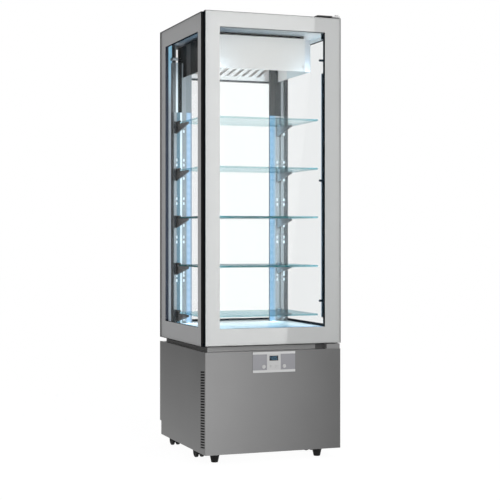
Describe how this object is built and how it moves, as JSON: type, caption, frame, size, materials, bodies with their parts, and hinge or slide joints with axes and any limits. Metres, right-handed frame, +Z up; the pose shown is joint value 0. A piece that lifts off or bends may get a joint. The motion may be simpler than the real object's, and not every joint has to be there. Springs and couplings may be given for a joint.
{
  "type": "refrigerated display showcase",
  "caption": "Upright refrigerated display showcase glazed on every side, with a hinged glass door, glass shelves on slotted uprights, and a castored machine base with a control panel.",
  "frame": {"origin": "on the floor under the middle of the cabinet", "axes": "+X to the viewer's right, front with the door faces -Y, +Z up"},
  "size_m": [0.6, 0.65, 1.866],
  "materials": {
    "satin_panel": "satin grey",
    "zinc_sheet": "plain",
    "control_face": "satin",
    "light_plastic": "satin",
    "display_black": "gloss",
    "dark_plastic": "matte",
    "black_rubber": "matte",
    "compressor_enamel": "gloss",
    "coil_aluminium": "satin",
    "copper_line": "bright",
    "clear_glass": "clear",
    "grey_enamel": "gloss grey enamel",
    "dark_frame": "satin",
    "insulation_white": "satin",
    "stainless_liner": "satin",
    "lamp_diffuser": "lit diffuser",
    "bush_plastic": "plain"
  },
  "bodies": {
    "cabinet": {"base_deck": "zinc_sheet", "base_front_panel": "satin_panel", "base_pan": "zinc_sheet", "base_rear_panel": "zinc_sheet", "base_sides": "satin_panel", "castor_plates": "zinc_sheet", "ceiling_liner": "stainless_liner", "compressor": "compressor_enamel", "compressor_grommets": "black_rubber", "condensate_tray": "dark_plastic", "condenser": "coil_aluminium", "control_plate": "control_face", "controller_module": "light_plastic", "corner_posts": "coil_aluminium", "display_floor": "stainless_liner", "display_window": "display_black", "evaporator_coil": "coil_aluminium", "evaporator_fan_motor": "zinc_sheet", "evaporator_housing": "stainless_liner", "fan_shroud_and_motor": "zinc_sheet", "fixing_screws": "zinc_sheet", "front_frame": "dark_frame", "glass_shelves": "clear_glass", "hinge_bracket_bottom": "stainless_liner", "hinge_bracket_top": "stainless_liner", "insulated_floor": "insulation_white", "insulated_roof": "insulation_white", "lamp_covers": "lamp_diffuser", "lamp_housings": "dark_frame", "mains_inlet": "dark_plastic", "neck_plinth": "dark_plastic", "rear_frame": "grey_enamel", "rear_panes": "clear_glass", "refrigerant_lines": "copper_line", "shelf_brackets": "stainless_liner", "side_frames": "grey_enamel", "side_panes": "clear_glass", "slotted_uprights": "stainless_liner", "switch_box": "dark_plastic", "vent_filters": "dark_plastic"},
    "door": {"door_frame": "grey_enamel", "door_panes": "clear_glass", "door_gasket": "black_rubber", "door_bushes": "bush_plastic"},
    "condenser_fan": {"condenser_fan": "dark_plastic"},
    "evaporator_fan": {"evaporator_fan": "dark_plastic"},
    "button_power": {"button_power": "light_plastic"},
    "button_light": {"button_light": "light_plastic"},
    "key_set": {"key_set": "light_plastic"},
    "key_down": {"key_down": "light_plastic"},
    "foot_left": {"foot_left": "black_rubber"},
    "foot_right": {"foot_right": "black_rubber"},
    "castor_body_front_left": {"castor_body_front_left": "dark_plastic"},
    "castor_wheels_front_left": {"castor_wheels_front_left": "black_rubber"},
    "castor_body_front_right": {"castor_body_front_right": "dark_plastic"},
    "castor_wheels_front_right": {"castor_wheels_front_right": "black_rubber"},
    "castor_body_rear_left": {"castor_body_rear_left": "dark_plastic"},
    "castor_wheels_rear_left": {"castor_wheels_rear_left": "black_rubber"},
    "castor_body_rear_right": {"castor_body_rear_right": "dark_plastic"},
    "castor_wheels_rear_right": {"castor_wheels_rear_right": "black_rubber"}
  },
  "joints": [
    {"name": "door_swing", "type": "hinge", "parent": "cabinet", "child": "door", "pos_m": [0.286, -0.313, 1.169], "axis": [0, 0, 1], "range_deg": [0, 110]},
    {"name": "condenser_fan_spin", "type": "hinge", "parent": "cabinet", "child": "condenser_fan", "pos_m": [-0.15, -0.193, 0.198], "axis": [0, 1, 0], "continuous": true},
    {"name": "evaporator_fan_spin", "type": "hinge", "parent": "cabinet", "child": "evaporator_fan", "pos_m": [0, 0.037, 1.7235], "axis": [0, 0, 1], "continuous": true},
    {"name": "button_power_press", "type": "slide", "parent": "cabinet", "child": "button_power", "axis": [0, 1, 0], "range_m": [0, 0.0012], "stiffness_N_per_m": 400},
    {"name": "button_light_press", "type": "slide", "parent": "cabinet", "child": "button_light", "axis": [0, 1, 0], "range_m": [0, 0.0012], "stiffness_N_per_m": 400},
    {"name": "key_set_press", "type": "slide", "parent": "cabinet", "child": "key_set", "axis": [0, 1, 0], "range_m": [0, 0.0012], "stiffness_N_per_m": 400},
    {"name": "key_down_press", "type": "slide", "parent": "cabinet", "child": "key_down", "axis": [0, 1, 0], "range_m": [0, 0.0012], "stiffness_N_per_m": 400},
    {"name": "foot_left_turn", "type": "hinge", "parent": "cabinet", "child": "foot_left", "pos_m": [-0.23, -0.234, 0.03], "axis": [0, 0, 1], "continuous": true},
    {"name": "foot_right_turn", "type": "hinge", "parent": "cabinet", "child": "foot_right", "pos_m": [0.23, -0.234, 0.03], "axis": [0, 0, 1], "continuous": true},
    {"name": "castor_front_left_swivel", "type": "hinge", "parent": "cabinet", "child": "castor_body_front_left", "pos_m": [-0.252, -0.108, 0.06], "axis": [0, 0, 1], "continuous": true},
    {"name": "castor_front_left_roll", "type": "hinge", "parent": "castor_body_front_left", "child": "castor_wheels_front_left", "pos_m": [-0.252, -0.093, 0.025], "axis": [1, 0, 0], "continuous": true},
    {"name": "castor_front_right_swivel", "type": "hinge", "parent": "cabinet", "child": "castor_body_front_right", "pos_m": [0.252, -0.108, 0.06], "axis": [0, 0, 1], "continuous": true},
    {"name": "castor_front_right_roll", "type": "hinge", "parent": "castor_body_front_right", "child": "castor_wheels_front_right", "pos_m": [0.252, -0.093, 0.025], "axis": [1, 0, 0], "continuous": true},
    {"name": "castor_rear_left_swivel", "type": "hinge", "parent": "cabinet", "child": "castor_body_rear_left", "pos_m": [-0.252, 0.235, 0.06], "axis": [0, 0, 1], "continuous": true},
    {"name": "castor_rear_left_roll", "type": "hinge", "parent": "castor_body_rear_left", "child": "castor_wheels_rear_left", "pos_m": [-0.252, 0.25, 0.025], "axis": [1, 0, 0], "continuous": true},
    {"name": "castor_rear_right_swivel", "type": "hinge", "parent": "cabinet", "child": "castor_body_rear_right", "pos_m": [0.252, 0.235, 0.06], "axis": [0, 0, 1], "continuous": true},
    {"name": "castor_rear_right_roll", "type": "hinge", "parent": "castor_body_rear_right", "child": "castor_wheels_rear_right", "pos_m": [0.252, 0.25, 0.025], "axis": [1, 0, 0], "continuous": true}
  ]
}
